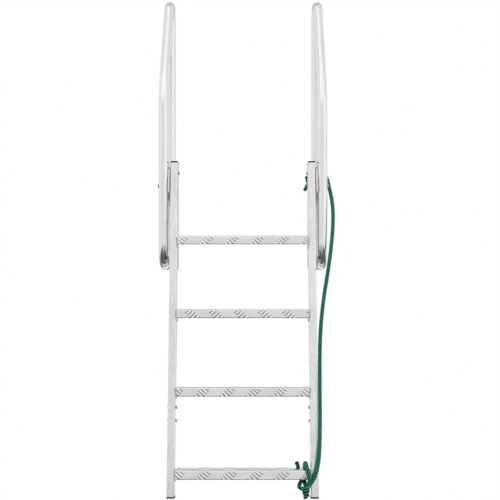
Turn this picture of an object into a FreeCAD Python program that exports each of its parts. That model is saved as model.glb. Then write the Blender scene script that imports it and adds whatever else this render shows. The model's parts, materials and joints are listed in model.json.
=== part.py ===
import math
import os

import FreeCAD, Part

# A swing-up ladder for a dock. Millimetres, Z up, Y towards the dock, X along its edge.
# The origin is on the dock face and middle line of the left bracket, level with the middle of its bolts.

# Ladder rails
CLEAR_WIDTH = 450.0
RAIL_WIDTH = 25.0
RAIL_DEPTH = 50.0
RAIL_WALL = 2.0
RAIL_CORNER = 3.0
GROOVE_WIDTH = 1.8
GROOVE_DEPTH = 0.7
GROOVE_OFFSET = 5.5
RAIL_ABOVE_PIVOT = 31.5
RAIL_BELOW_PIVOT = 1093.0
RAIL_LEAN = 7.7
END_CAP_THICKNESS = 5.0
END_CAP_PLUG = 14.0
PLUG_CLEARANCE = 0.1
FOOT_FLARE = 0.6

# Splice between the upper and the lower rails
SEAM_BELOW_PIVOT = 790.0
SEAM_GAP = 0.5
SPLICE_UP = 70.0
SPLICE_DOWN = 75.0
SPLICE_WALL = 3.0
SPLICE_CLEARANCE = 0.15
SPLICE_BOLT_DROPS = (13.0, 56.0)
SPLICE_BOLT_RADIUS = 3.0
SPLICE_HEAD_RADIUS = 6.0
SPLICE_HEAD_HEIGHT = 2.4
SPLICE_NUT_RADIUS = 5.8
SPLICE_NUT_HEIGHT = 5.0

# Treads
FIRST_TREAD_DROP = 226.0
TREAD_GAPS = (250.0, 260.0, 269.0)
TREAD_DEPTH = 86.0
TREAD_LIP = 30.0
TREAD_BACK_LIP = 15.0
TREAD_SHEET = 3.0
TREAD_BEND = 4.5
TREAD_END_GAP = 3.5
BRACKET_SHEET = 3.0
END_BRACKET_HEIGHT = 36.0
END_BRACKET_DEPTH = 44.0
END_BRACKET_FLANGE = 22.0
END_BRACKET_CORNER = 6.0

# Dock brackets: flat bar bent over the edge of the deck, narrower where it lies on it
BAR_WIDTH = 66.0
BAR_THICKNESS = 8.0
BAR_BEND = 12.0
TONGUE_WIDTH = 47.0
TONGUE_ROOT = 14.0
HOOP_FOOT_EDGE = 2.0
DECK_ABOVE_ORIGIN = 170.0
FACE_LEG = 287.0
DECK_LEG = 262.0
BAR_CORNER = 8.0
FACE_BOLT_SPACING = 110.0
FACE_BOLT_EDGE = 15.0
DECK_BOLT_SPACING = 100.0
FIRST_DECK_BOLT = 60.0
MOUNT_HOLE_RADIUS = 5.5

# Pivot and hinge ears
PIVOT_ABOVE_DECK = 51.0
PIVOT_OUT = 64.0
PIVOT_RADIUS = 4.0
PIVOT_CLEARANCE = 0.05
EAR_GAP = 3.0
EAR_THICKNESS = 4.0
EAR_HEAD_RADIUS = 22.0
EAR_DROP = 95.0
EAR_TOE_DROP = 16.0
WASHER_RADIUS = 12.0
WASHER_CLEARANCE = 0.15
PIVOT_NUT_RADIUS = 7.5
PIVOT_NUT_HEIGHT = 4.5
NUT_CLEARANCE = 0.5
PIVOT_STUB = 0.6
NUT_SIDES = 6

# Handrail hoops
HOOP_RADIUS = 17.5
HOOP_WALL = 2.5
NEAR_LEG_OUT = 81.0
FAR_LEG_IN = 222.0
HOOP_TOP_ABOVE_DECK = 691.0
ARM_LEAN = 32.0
TOP_BEND = 50.0
KNEE_BEND = 280.0
FOOT_BEND = 70.0
HOOP_BOLT_ABOVE_DECK = 4.0
HOOP_BOLT_RADIUS = 4.0
HOOP_BOLT_CLEARANCE = 0.1
HOOP_HEAD_RADIUS = 7.5
HOOP_HEAD_HEIGHT = 3.0

# Stops that hold the ladder out from the dock
STOP_ABOVE_BAR_END = 27.0
STOP_HEIGHT = 32.0
STOP_ROOT_HEIGHT = 50.0
STOP_WEB = 6.0
STOP_HEAD = 4.0
STOP_HEAD_WIDTH = 20.0
STOP_PAD = 6.0
STOP_CLEARANCE = 0.3
STOP_EDGE_SET = 4.0

# Rope
ROPE_RADIUS = 7.0
ROPE_SEAT = 0.4
TOP_HITCH_ABOVE_DECK = 56.0
HITCH_LEAD = 24.0
HITCH_PITCH = 14.4
HITCH_TURNS = 1
HITCH_CORNERS = 8
HITCH_LET_GO = 12.0
HITCH_TAIL_OUT = (9.0, 19.0)
HITCH_TAIL_DOWN = (8.0, 28.0)
KNOT_RADIUS = 13.0
KNOT_OUT = 6.0
KNOT_DROP = 2.0
ARC_SHARE = 0.45

# Worked out from the values above
RAIL_OUT = CLEAR_WIDTH / 2 + RAIL_WIDTH
EAR_IN = RAIL_OUT + EAR_GAP
EAR_OUT = EAR_IN + EAR_THICKNESS
HOOP_X = EAR_OUT + HOOP_RADIUS
BAR_OUT = HOOP_X + HOOP_RADIUS + HOOP_FOOT_EDGE
BRACKET_X = BAR_OUT - BAR_WIDTH / 2
TONGUE_X = BAR_OUT - TONGUE_WIDTH / 2
DECK_Z = DECK_ABOVE_ORIGIN
DECK_TOP = DECK_Z + BAR_THICKNESS
BAR_END_Z = DECK_Z - FACE_LEG
PIVOT_Z = DECK_Z + PIVOT_ABOVE_DECK
TREAD_DROPS = [FIRST_TREAD_DROP + sum(TREAD_GAPS[:i]) for i in range(len(TREAD_GAPS) + 1)]
SEAM_Z = -SEAM_BELOW_PIVOT
SIDES = (("left", -1), ("right", 1))
X_AXIS = FreeCAD.Vector(1, 0, 0)
Y_AXIS = FreeCAD.Vector(0, 1, 0)
Z_AXIS = FreeCAD.Vector(0, 0, 1)
TINY = 0.01


def point(x, y, z):
    return FreeCAD.Vector(x, y, z)


def box(x0, x1, y0, y1, z0, z1):
    return Part.makeBox(x1 - x0, y1 - y0, z1 - z0, point(x0, y0, z0))


def rod(radius, start, end):
    """A round bar between two points."""
    way = end - start
    return Part.makeCylinder(radius, way.Length, start, way)


def save(name, shape):
    """Moves a shape from the middle of the ladder to the frame of the part and writes it."""
    shape = shape.copy()
    shape.translate(point(BRACKET_X, 0, 0))
    shape.exportStep("parts/" + name + ".step")


def lean(shape):
    """Carries a shape drawn upright, with the pivot at its origin, to where the ladder rests."""
    shape = shape.copy()
    shape.rotate(point(0, 0, 0), X_AXIS, -RAIL_LEAN)
    shape.translate(point(0, -PIVOT_OUT, PIVOT_Z))
    return shape


def on_side(shape, side):
    """A shape drawn for the right side, or its mirror image for the left."""
    if side > 0:
        return shape
    return shape.mirror(point(0, 0, 0), X_AXIS)


def rounded_wire(points, radii):
    """Straight runs through the points, joined at each inner point by a tangent arc."""
    edges = []
    last = points[0]
    for i in range(1, len(points) - 1):
        corner = points[i]
        back = (points[i - 1] - corner).normalize()
        ahead = (points[i + 1] - corner).normalize()
        half_turn = (math.pi - back.getAngle(ahead)) / 2
        reach = radii[i - 1] * math.tan(half_turn)
        start = corner + back * reach
        end = corner + ahead * reach
        inward = (back + ahead).normalize()
        middle = corner + inward * (radii[i - 1] / math.cos(half_turn) - radii[i - 1])
        if (start - last).Length > TINY:
            edges.append(Part.LineSegment(last, start).toShape())
        edges.append(Part.Arc(start, middle, end).toShape())
        last = end
    edges.append(Part.LineSegment(last, points[-1]).toShape())
    return Part.Wire(edges)


def swept_rod(wire, radius):
    """A round bar along a wire."""
    first = wire.OrderedEdges[0]
    start = first.valueAt(first.FirstParameter)
    way = first.tangentAt(first.FirstParameter)
    ring = Part.Wire([Part.Circle(start, way, radius).toShape()])
    return wire.makePipeShell([ring], True, True)


# Rails


def rail_profile(width, depth, corner):
    """A rectangle with round corners in the XY plane, centred on the origin."""
    solid = box(-width / 2, width / 2, -depth / 2, depth / 2, 0, 1)
    upright = [e for e in solid.Edges if abs(e.tangentAt(e.FirstParameter).z) > 1 - TINY]
    return solid.makeFillet(corner, upright)


def rail_length(z0, z1):
    """Grooved rectangular tube for the right side, upright, from z0 up to z1."""
    height = z1 - z0
    outer = rail_profile(RAIL_WIDTH, RAIL_DEPTH, RAIL_CORNER)
    inner_corner = RAIL_CORNER - RAIL_WALL / 2
    inner = rail_profile(RAIL_WIDTH - 2 * RAIL_WALL, RAIL_DEPTH - 2 * RAIL_WALL, inner_corner)
    end = outer.cut(inner)
    for across in (-GROOVE_OFFSET, GROOVE_OFFSET):
        for face in (-1, 1):
            y = face * RAIL_DEPTH / 2
            x0 = across - GROOVE_WIDTH / 2
            end = end.cut(box(x0, x0 + GROOVE_WIDTH, y - GROOVE_DEPTH, y + GROOVE_DEPTH, 0, 1))
    bottom = [f for f in end.Faces if abs(f.CenterOfMass.z) < TINY][0]
    tube = bottom.extrude(point(0, 0, height))
    tube.translate(point(CLEAR_WIDTH / 2 + RAIL_WIDTH / 2, 0, z0))
    return tube


def across_rail(radius, z):
    """A bar through both walls of the right rail."""
    start = point(CLEAR_WIDTH / 2 - RAIL_WIDTH, 0, z)
    return rod(radius, start, start + X_AXIS * (3 * RAIL_WIDTH))


def splice_bolt_heights():
    return [SEAM_Z - drop for drop in SPLICE_BOLT_DROPS]


def upper_rail():
    tube = rail_length(SEAM_Z + SEAM_GAP / 2, RAIL_ABOVE_PIVOT)
    return tube.cut(across_rail(PIVOT_RADIUS + PIVOT_CLEARANCE, 0))


def lower_rail():
    tube = rail_length(-RAIL_BELOW_PIVOT, SEAM_Z - SEAM_GAP / 2)
    for z in splice_bolt_heights():
        tube = tube.cut(across_rail(SPLICE_BOLT_RADIUS, z))
    return tube


def rail_plug(z0, z1, clearance):
    """What fills the inside of the right rail from z0 to z1."""
    width = RAIL_WIDTH - 2 * RAIL_WALL - 2 * clearance
    depth = RAIL_DEPTH - 2 * RAIL_WALL - 2 * clearance
    plug = rail_profile(width, depth, RAIL_CORNER - RAIL_WALL / 2)
    face = [f for f in plug.Faces if abs(f.CenterOfMass.z) < TINY][0]
    plug = face.extrude(point(0, 0, z1 - z0))
    plug.translate(point(CLEAR_WIDTH / 2 + RAIL_WIDTH / 2, 0, z0))
    return plug


def end_cap(end_z, way):
    """A plastic plug with a flat head; way is 1 on a top end and -1 on a foot."""
    flare = FOOT_FLARE if way < 0 else 0
    head = rail_profile(RAIL_WIDTH + 2 * flare, RAIL_DEPTH + 2 * flare, RAIL_CORNER + flare)
    face = [f for f in head.Faces if abs(f.CenterOfMass.z) < TINY][0]
    head = face.extrude(point(0, 0, END_CAP_THICKNESS))
    low = end_z if way > 0 else end_z - END_CAP_THICKNESS
    head.translate(point(CLEAR_WIDTH / 2 + RAIL_WIDTH / 2, 0, low))
    inside = end_z - way * END_CAP_PLUG
    plug = rail_plug(min(inside, end_z), max(inside, end_z), PLUG_CLEARANCE)
    return head.fuse(plug).removeSplitter()


def splice():
    """The tube inside both rails at the seam."""
    z0 = SEAM_Z - SPLICE_DOWN
    z1 = SEAM_Z + SPLICE_UP
    outer = rail_plug(z0, z1, SPLICE_CLEARANCE)
    inner = rail_plug(z0, z1, SPLICE_CLEARANCE + SPLICE_WALL)
    tube = outer.cut(inner)
    for z in splice_bolt_heights():
        tube = tube.cut(across_rail(SPLICE_BOLT_RADIUS, z))
    return tube


def splice_bolts():
    """Two bolts with low round heads outside and nuts inside, for the right rail."""
    inside = CLEAR_WIDTH / 2
    bolts = []
    for z in splice_bolt_heights():
        shank = rod(SPLICE_BOLT_RADIUS, point(inside, 0, z), point(RAIL_OUT, 0, z))
        head = rod(SPLICE_HEAD_RADIUS, point(RAIL_OUT, 0, z), point(RAIL_OUT + SPLICE_HEAD_HEIGHT, 0, z))
        nut = hexagon(SPLICE_NUT_RADIUS, SPLICE_NUT_HEIGHT)
        nut.translate(point(inside - SPLICE_NUT_HEIGHT, 0, z))
        bolts.append(shank.fuse([head, nut]).removeSplitter())
    return Part.makeCompound(bolts)


def hexagon(radius, height):
    """A hexagonal prism along X from the origin; radius is to its corners."""
    turns = [2 * math.pi * i / NUT_SIDES for i in range(NUT_SIDES)]
    corners = [point(0, radius * math.cos(a), radius * math.sin(a)) for a in turns]
    outline = Part.makePolygon(corners + corners[:1])
    return Part.Face(outline).extrude(point(height, 0, 0))


# Treads


def tread(drop):
    """Chequer plate bent down along both long edges."""
    front = -TREAD_DEPTH / 2
    back = TREAD_DEPTH / 2
    length = CLEAR_WIDTH - 2 * TREAD_END_GAP
    x = -length / 2
    outer_points = [
        point(x, front, -TREAD_LIP),
        point(x, front, 0),
        point(x, back, 0),
        point(x, back, -TREAD_BACK_LIP),
    ]
    inner_points = [
        point(x, back - TREAD_SHEET, -TREAD_BACK_LIP),
        point(x, back - TREAD_SHEET, -TREAD_SHEET),
        point(x, front + TREAD_SHEET, -TREAD_SHEET),
        point(x, front + TREAD_SHEET, -TREAD_LIP),
    ]
    outer = rounded_wire(outer_points, [TREAD_BEND] * 2)
    inner = rounded_wire(inner_points, [TREAD_BEND - TREAD_SHEET] * 2)
    joins = [
        Part.LineSegment(outer_points[-1], inner_points[0]).toShape(),
        Part.LineSegment(inner_points[-1], outer_points[0]).toShape(),
    ]
    outline = Part.Wire(Part.__sortEdges__(outer.Edges + inner.Edges + joins))
    plate = Part.Face(outline).extrude(point(length, 0, 0))
    plate.translate(point(0, 0, -drop))
    return plate


def tread_end(drop):
    """The angle that carries the right end of a tread on the rail."""
    inside = CLEAR_WIDTH / 2
    half = END_BRACKET_DEPTH / 2
    top = -drop - TREAD_SHEET
    wall = box(inside - BRACKET_SHEET, inside, -half, half, top - END_BRACKET_HEIGHT, top)
    across = [e for e in wall.Edges if abs(e.tangentAt(e.FirstParameter).x) > 1 - TINY]
    low = [e for e in across if e.CenterOfMass.z < top - END_BRACKET_CORNER]
    wall = wall.makeFillet(END_BRACKET_CORNER, low)
    flange = box(inside - END_BRACKET_FLANGE, inside, -half, half, top - BRACKET_SHEET, top)
    return wall.fuse(flange).removeSplitter()


# Dock brackets


def dock_bracket():
    """The right bracket: one bar bent over the deck edge."""
    x0 = BRACKET_X - BAR_WIDTH / 2
    low = BAR_END_Z
    outer = rounded_wire(
        [point(x0, -BAR_THICKNESS, low), point(x0, -BAR_THICKNESS, DECK_TOP), point(x0, DECK_LEG, DECK_TOP)],
        [BAR_BEND],
    )
    inner = rounded_wire(
        [point(x0, DECK_LEG, DECK_Z), point(x0, 0, DECK_Z), point(x0, 0, low)],
        [BAR_BEND - BAR_THICKNESS],
    )
    joins = [
        Part.LineSegment(point(x0, DECK_LEG, DECK_TOP), point(x0, DECK_LEG, DECK_Z)).toShape(),
        Part.LineSegment(point(x0, 0, low), point(x0, -BAR_THICKNESS, low)).toShape(),
    ]
    outline = Part.Wire(Part.__sortEdges__(outer.Edges + inner.Edges + joins))
    bar = Part.Face(outline).extrude(point(BAR_WIDTH, 0, 0))
    tongue_in = BAR_OUT - TONGUE_WIDTH
    notch_low = DECK_Z - TONGUE_ROOT
    bar = bar.cut(box(x0 - 1, tongue_in, -2 * BAR_THICKNESS, DECK_LEG + 1, notch_low, DECK_TOP + 1))
    foot = [e for e in bar.Edges if short_edge(e, Y_AXIS, low)]
    hoop_side = [e for e in foot if e.CenterOfMass.x > BRACKET_X]
    bar = bar.makeFillet(HOOP_RADIUS + HOOP_FOOT_EDGE, hoop_side)
    corners = [e for e in bar.Edges if short_edge(e, Y_AXIS, low) and e.CenterOfMass.x < BRACKET_X]
    corners += [e for e in bar.Edges if short_edge(e, Y_AXIS, notch_low)]
    corners += [e for e in bar.Edges if short_edge(e, Z_AXIS, DECK_Z + BAR_THICKNESS / 2) and at_deck_end(e)]
    bar = bar.makeFillet(BAR_CORNER, corners)
    for z in (-FACE_BOLT_SPACING / 2, FACE_BOLT_SPACING / 2):
        start = point(BAR_OUT - BAR_WIDTH + FACE_BOLT_EDGE, -2 * BAR_THICKNESS, z)
        bar = bar.cut(rod(MOUNT_HOLE_RADIUS, start, start + Y_AXIS * (3 * BAR_THICKNESS)))
    for y in (FIRST_DECK_BOLT, FIRST_DECK_BOLT + DECK_BOLT_SPACING):
        start = point(TONGUE_X, y, DECK_Z - BAR_THICKNESS)
        bar = bar.cut(rod(MOUNT_HOLE_RADIUS, start, start + Z_AXIS * (3 * BAR_THICKNESS)))
    return bar


def short_edge(edge, way, z):
    """True for an edge through the bar's thickness, in that direction and at that height."""
    along = edge.tangentAt(edge.FirstParameter)
    thin = abs(edge.Length - BAR_THICKNESS) < TINY
    return thin and abs(along.dot(way)) > 1 - TINY and abs(edge.CenterOfMass.z - z) < TINY


def at_deck_end(edge):
    return abs(edge.CenterOfMass.y - DECK_LEG) < TINY


def hinge_ear():
    """The plate on the right bracket that holds the pivot and the near leg of the hoop."""
    front = -NEAR_LEG_OUT - HOOP_RADIUS
    centre = point(EAR_IN, -PIVOT_OUT, PIVOT_Z)
    root_y = -BAR_THICKNESS
    corners = [
        point(EAR_IN, root_y, DECK_Z - EAR_DROP),
        point(EAR_IN, front, DECK_Z - EAR_TOE_DROP),
        point(EAR_IN, front, DECK_Z + EAR_TOE_DROP),
    ]
    crown = tangent_point(corners[-1], centre, EAR_HEAD_RADIUS, -1)
    back_root = point(EAR_IN, root_y, DECK_Z - EAR_TOE_DROP)
    back = tangent_point(back_root, centre, EAR_HEAD_RADIUS, 1)
    over = centre + Z_AXIS * EAR_HEAD_RADIUS
    edges = [
        Part.LineSegment(corners[0], corners[1]).toShape(),
        Part.LineSegment(corners[1], corners[2]).toShape(),
        Part.LineSegment(corners[2], crown).toShape(),
        Part.Arc(crown, over, back).toShape(),
        Part.LineSegment(back, back_root).toShape(),
        Part.LineSegment(back_root, corners[0]).toShape(),
    ]
    plate = Part.Face(Part.Wire(edges)).extrude(point(EAR_THICKNESS, 0, 0))
    hole = rod(PIVOT_RADIUS, centre - X_AXIS, centre + X_AXIS * (2 * EAR_THICKNESS))
    plate = plate.cut(hole)
    return plate.cut(hoop_bolt_hole())


def tangent_point(outside, centre, radius, hand):
    """Where a line from a point touches a circle about X; hand picks which of the two."""
    way = centre - outside
    way.x = 0
    distance = way.Length
    half = math.acos(radius / distance)
    back = -way
    turned = FreeCAD.Rotation(X_AXIS, math.degrees(hand * half)).multVec(back)
    return point(outside.x, centre.y, centre.z) + turned.normalize() * radius


def pivot_bolt():
    """A stud fixed in the right ear, with its nut inside the rail."""
    inside = CLEAR_WIDTH / 2
    nut_out = inside - NUT_CLEARANCE
    nut_in = nut_out - PIVOT_NUT_HEIGHT
    stud = rod(PIVOT_RADIUS, pivot_at(nut_in - PIVOT_STUB), pivot_at(EAR_OUT))
    nut = hexagon(PIVOT_NUT_RADIUS, PIVOT_NUT_HEIGHT)
    nut.translate(pivot_at(nut_in))
    return stud.fuse(nut).removeSplitter()


def pivot_at(x):
    return point(x, -PIVOT_OUT, PIVOT_Z)


def pivot_washer():
    start = RAIL_OUT + WASHER_CLEARANCE
    end = EAR_IN
    disc = rod(WASHER_RADIUS, pivot_at(start), pivot_at(end))
    return disc.cut(rod(PIVOT_RADIUS, pivot_at(start - 1), pivot_at(end + 1)))


# Hoops


def hoop_path():
    """The middle of the hoop's tube, from the far foot over the top to the bracket."""
    slope = math.tan(math.radians(ARM_LEAN))
    half_turn = math.radians(180 - ARM_LEAN) / 2
    top = DECK_Z + HOOP_TOP_ABOVE_DECK - TOP_BEND + TOP_BEND * math.tan(half_turn)
    knee = top - (FAR_LEG_IN + NEAR_LEG_OUT) / slope
    foot = BAR_END_Z + HOOP_RADIUS + HOOP_FOOT_EDGE
    return rounded_wire(
        [
            point(HOOP_X, FAR_LEG_IN, DECK_TOP),
            point(HOOP_X, FAR_LEG_IN, top),
            point(HOOP_X, -NEAR_LEG_OUT, knee),
            point(HOOP_X, -NEAR_LEG_OUT, foot),
            point(HOOP_X, -BAR_THICKNESS, foot),
        ],
        [TOP_BEND, KNEE_BEND, FOOT_BEND],
    )


def hoop_bolt_at(x):
    return point(x, -NEAR_LEG_OUT, DECK_Z + HOOP_BOLT_ABOVE_DECK)


def hoop_bolt_hole():
    start = hoop_bolt_at(EAR_IN - 1)
    end = hoop_bolt_at(HOOP_X + 2 * HOOP_RADIUS)
    return rod(HOOP_BOLT_RADIUS + HOOP_BOLT_CLEARANCE, start, end)


def handrail_hoop():
    path = hoop_path()
    tube = swept_rod(path, HOOP_RADIUS).cut(swept_rod(path, HOOP_RADIUS - HOOP_WALL))
    return tube.cut(hoop_bolt_hole())


def hoop_bolt():
    outside = HOOP_X + HOOP_RADIUS
    shank = rod(HOOP_BOLT_RADIUS, hoop_bolt_at(EAR_IN), hoop_bolt_at(outside))
    head = rod(HOOP_HEAD_RADIUS, hoop_bolt_at(outside), hoop_bolt_at(outside + HOOP_HEAD_HEIGHT))
    rim = [e for e in head.Edges if abs(e.CenterOfMass.x - outside - HOOP_HEAD_HEIGHT) < TINY]
    head = head.makeFillet(HOOP_HEAD_HEIGHT / 2, rim)
    return shank.fuse(head).removeSplitter()


# Stops


def rail_back(z):
    """How far out from the dock face the back of the resting rail is at a height."""
    angle = math.radians(RAIL_LEAN)
    return PIVOT_OUT + (PIVOT_Z - z) * math.tan(angle) - RAIL_DEPTH / 2 / math.cos(angle)


def stop_arm():
    """A gusset on the right bracket with a plate across its end."""
    web_x = BRACKET_X - BAR_WIDTH / 2 + STOP_EDGE_SET + STOP_HEAD_WIDTH / 2 - STOP_WEB / 2
    z = BAR_END_Z + STOP_ABOVE_BAR_END
    reach = rail_back(z) - STOP_PAD - STOP_CLEARANCE
    root_low = z - STOP_HEIGHT / 2
    outline = [
        point(web_x, -BAR_THICKNESS, root_low),
        point(web_x, -reach + STOP_HEAD, root_low),
        point(web_x, -reach + STOP_HEAD, root_low + STOP_HEIGHT),
        point(web_x, -BAR_THICKNESS, root_low + STOP_ROOT_HEIGHT),
        point(web_x, -BAR_THICKNESS, root_low),
    ]
    web = Part.Face(Part.makePolygon(outline)).extrude(point(STOP_WEB, 0, 0))
    return web.fuse(stop_block(-reach, -reach + STOP_HEAD)).removeSplitter()


def stop_block(y0, y1):
    """A plate as wide and high as the end of the right stop."""
    x0 = BRACKET_X - BAR_WIDTH / 2 + STOP_EDGE_SET
    z = BAR_END_Z + STOP_ABOVE_BAR_END
    return box(x0, x0 + STOP_HEAD_WIDTH, y0, y1, z - STOP_HEIGHT / 2, z + STOP_HEIGHT / 2)


def stop_pad():
    """The rubber between the right stop and the rail, cut to the rail's lean."""
    z = BAR_END_Z + STOP_ABOVE_BAR_END
    reach = rail_back(z) - STOP_PAD - STOP_CLEARANCE
    block = stop_block(-reach - 2 * STOP_PAD, -reach)
    front = lean(box(0, 2 * RAIL_OUT, -2 * RAIL_DEPTH, RAIL_DEPTH / 2 + STOP_CLEARANCE, -RAIL_BELOW_PIVOT, 0))
    return block.cut(front)


# Rope


def rope_route():
    """Points of the free run: across from the ladder's middle, from the dock face, above the deck."""
    ring = HOOP_RADIUS + ROPE_RADIUS + ROPE_SEAT
    return [
        (HOOP_X + ring, FAR_LEG_IN - HITCH_LEAD, TOP_HITCH_ABOVE_DECK),
        (HOOP_X + ring, 152.0, TOP_HITCH_ABOVE_DECK),
        (300.0, 104.0, 53.0),
        (300.5, 56.0, 47.5),
        (301.0, 8.0, 39.5),
        (303.0, -32.0, 22.0),
        (309.0, -58.0, -14.0),
        (315.5, -74.0, -62.0),
        (315.0, -88.0, -125.0),
        (306.5, -99.0, -200.0),
        (292.5, -112.0, -285.0),
        (274.0, -130.0, -385.0),
        (260.5, -152.0, -505.0),
        (257.5, -184.0, -655.0),
        (256.0, -218.0, -800.0),
        (252.0, -239.0, -890.0),
        (244.0, -248.0, -938.0),
        (231.0, -253.0, -970.0),
        (214.0, -252.0, -992.0),
    ]


def tread_hitch_turn():
    """Points of the turn round the lowest tread, from its middle, upright, below its top."""
    return [
        (209.0, -42.0, -60.0),
        (216.5, -50.0, -46.0),
        (217.5, -56.0, -30.0),
        (215.5, -58.0, -14.0),
        (211.5, -56.0, 2.0),
        (209.0, -43.0, 17.0),
        (208.0, -18.0, 24.0),
        (207.5, 18.0, 22.0),
        (208.0, 46.0, 12.0),
        (209.0, 57.0, -8.0),
        (210.0, 50.0, -30.0),
        (210.5, 24.0, -42.0),
        (210.5, -4.0, -46.0),
        (210.0, -26.0, -51.0),
        (209.0, -40.0, -58.0),
    ]


def tread_hitch_tail():
    """Points of the loose end, which loops under the tread and stands up behind it."""
    return [
        (206.5, -44.0, -58.0),
        (196.0, -48.0, -57.0),
        (188.5, -45.0, -55.0),
        (184.0, -36.0, -52.0),
        (185.5, -22.0, -46.0),
        (192.0, -6.0, -40.0),
        (195.0, 12.0, -36.0),
        (195.0, 34.0, -34.0),
        (192.0, 54.0, -24.0),
        (189.0, 58.0, -6.0),
        (185.5, 57.0, 8.0),
        (181.0, 55.0, 20.0),
    ]


def tread_hitch_drop():
    """Points of the short end that hangs below the knot."""
    return [
        (208.0, -43.0, -60.0),
        (205.0, -44.5, -75.0),
        (205.5, -43.5, -90.0),
    ]


def rope_wire(corners):
    """Straight runs joined by arcs as large as the two runs beside each allow."""
    radii = []
    for i in range(1, len(corners) - 1):
        back = corners[i - 1] - corners[i]
        ahead = corners[i + 1] - corners[i]
        half_turn = (math.pi - back.getAngle(ahead)) / 2
        radii.append(ARC_SHARE * min(back.Length, ahead.Length) / math.tan(half_turn))
    return rounded_wire(corners, radii), radii


def rope_run():
    wire, radii = rope_wire([point(x, y, z + DECK_Z) for x, y, z in rope_route()])
    tube = swept_rod(wire, ROPE_RADIUS)
    expected = math.pi * ROPE_RADIUS**2 * wire.Length
    print("rope run length", round(wire.Length, 1), "volume ratio", round(tube.Volume / expected, 4))
    print("rope arc radii", [round(r) for r in radii])
    return tube


def top_hitch_route():
    """Points of the turns round the right far leg, in the same terms as the free run."""
    ring = HOOP_RADIUS + ROPE_RADIUS + ROPE_SEAT
    step = 2 * math.pi / HITCH_CORNERS
    reach = ring / math.cos(step / 2)
    route = [(HOOP_X + ring, FAR_LEG_IN - HITCH_LEAD, TOP_HITCH_ABOVE_DECK)]
    for i in range(HITCH_TURNS * HITCH_CORNERS + HITCH_CORNERS // 2):
        turn = (i + 1 / 2) * step
        drop = HITCH_PITCH * i / HITCH_CORNERS
        x = HOOP_X + reach * math.cos(turn)
        route.append((x, FAR_LEG_IN + reach * math.sin(turn), TOP_HITCH_ABOVE_DECK - drop))
    height = route[-1][2]
    tail_y = FAR_LEG_IN - HITCH_LET_GO
    for out, down in zip(HITCH_TAIL_OUT, HITCH_TAIL_DOWN):
        route.append((HOOP_X - ring - out, tail_y - out / 2, height - down))
    return route


def knot_ball(middle):
    """The ball of a knot, its poles level and slantwise so that no seam meets the rope's."""
    return Part.makeSphere(KNOT_RADIUS, middle, X_AXIS + Y_AXIS)


def top_hitch():
    """Rope wound round the right far leg above the deck, with its knot and tail."""
    wire, radii = rope_wire([point(x, y, z + DECK_Z) for x, y, z in top_hitch_route()])
    ring = HOOP_RADIUS + ROPE_RADIUS + ROPE_SEAT
    z = DECK_Z + TOP_HITCH_ABOVE_DECK - KNOT_DROP
    knot = knot_ball(point(HOOP_X - ring - KNOT_OUT, FAR_LEG_IN, z))
    print("hitch arc radii", [round(r) for r in radii])
    return swept_rod(wire, ROPE_RADIUS).fuse(knot)


def tread_hitch():
    """A turn of rope round the right end of the lowest tread, with the knot under it."""
    drop = TREAD_DROPS[-1]
    x, y, z = tread_hitch_drop()[0]
    hitch = knot_ball(point(x, y, z - drop))
    for route in (tread_hitch_turn(), tread_hitch_drop(), tread_hitch_tail()):
        corners = [point(x, y, z - drop) for x, y, z in route]
        hitch = hitch.fuse(swept_rod(rope_wire(corners)[0], ROPE_RADIUS))
    return hitch


def main():
    os.makedirs("parts", exist_ok=True)
    for name, side in SIDES:
        save(name + "_upper_rail", lean(on_side(upper_rail(), side)))
        save(name + "_lower_rail", lean(on_side(lower_rail(), side)))
        save(name + "_rail_cap", lean(on_side(end_cap(RAIL_ABOVE_PIVOT, 1), side)))
        save(name + "_rail_foot", lean(on_side(end_cap(-RAIL_BELOW_PIVOT, -1), side)))
        save(name + "_splice", lean(on_side(splice(), side)))
        save(name + "_splice_bolts", lean(on_side(splice_bolts(), side)))
        for number, drop in enumerate(TREAD_DROPS, 1):
            save(f"tread_{number}_{name}_end", lean(on_side(tread_end(drop), side)))
        save(name + "_dock_bracket", on_side(dock_bracket(), side))
        save(name + "_hinge_ear", on_side(hinge_ear(), side))
        save(name + "_pivot_bolt", on_side(pivot_bolt(), side))
        save(name + "_pivot_washer", on_side(pivot_washer(), side))
        save(name + "_handrail_hoop", on_side(handrail_hoop(), side))
        save(name + "_hoop_bolt", on_side(hoop_bolt(), side))
        save(name + "_stop_arm", on_side(stop_arm(), side))
        save(name + "_stop_pad", on_side(stop_pad(), side))
    for number, drop in enumerate(TREAD_DROPS, 1):
        save(f"tread_{number}", lean(tread(drop)))
    save("rope_run", rope_run())
    save("rope_top_hitch", top_hitch())
    save("rope_tread_hitch", lean(tread_hitch()))


main()
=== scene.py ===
"""A swing-up dock ladder: materials, rope, chequer lugs, welds, floor, light and camera.

Lengths are metres in the frame of the model. The ladder leans, so what lies on it is
worked out upright, with the pivot as its origin, and then turned to where it rests.
"""

import json
import math

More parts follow.
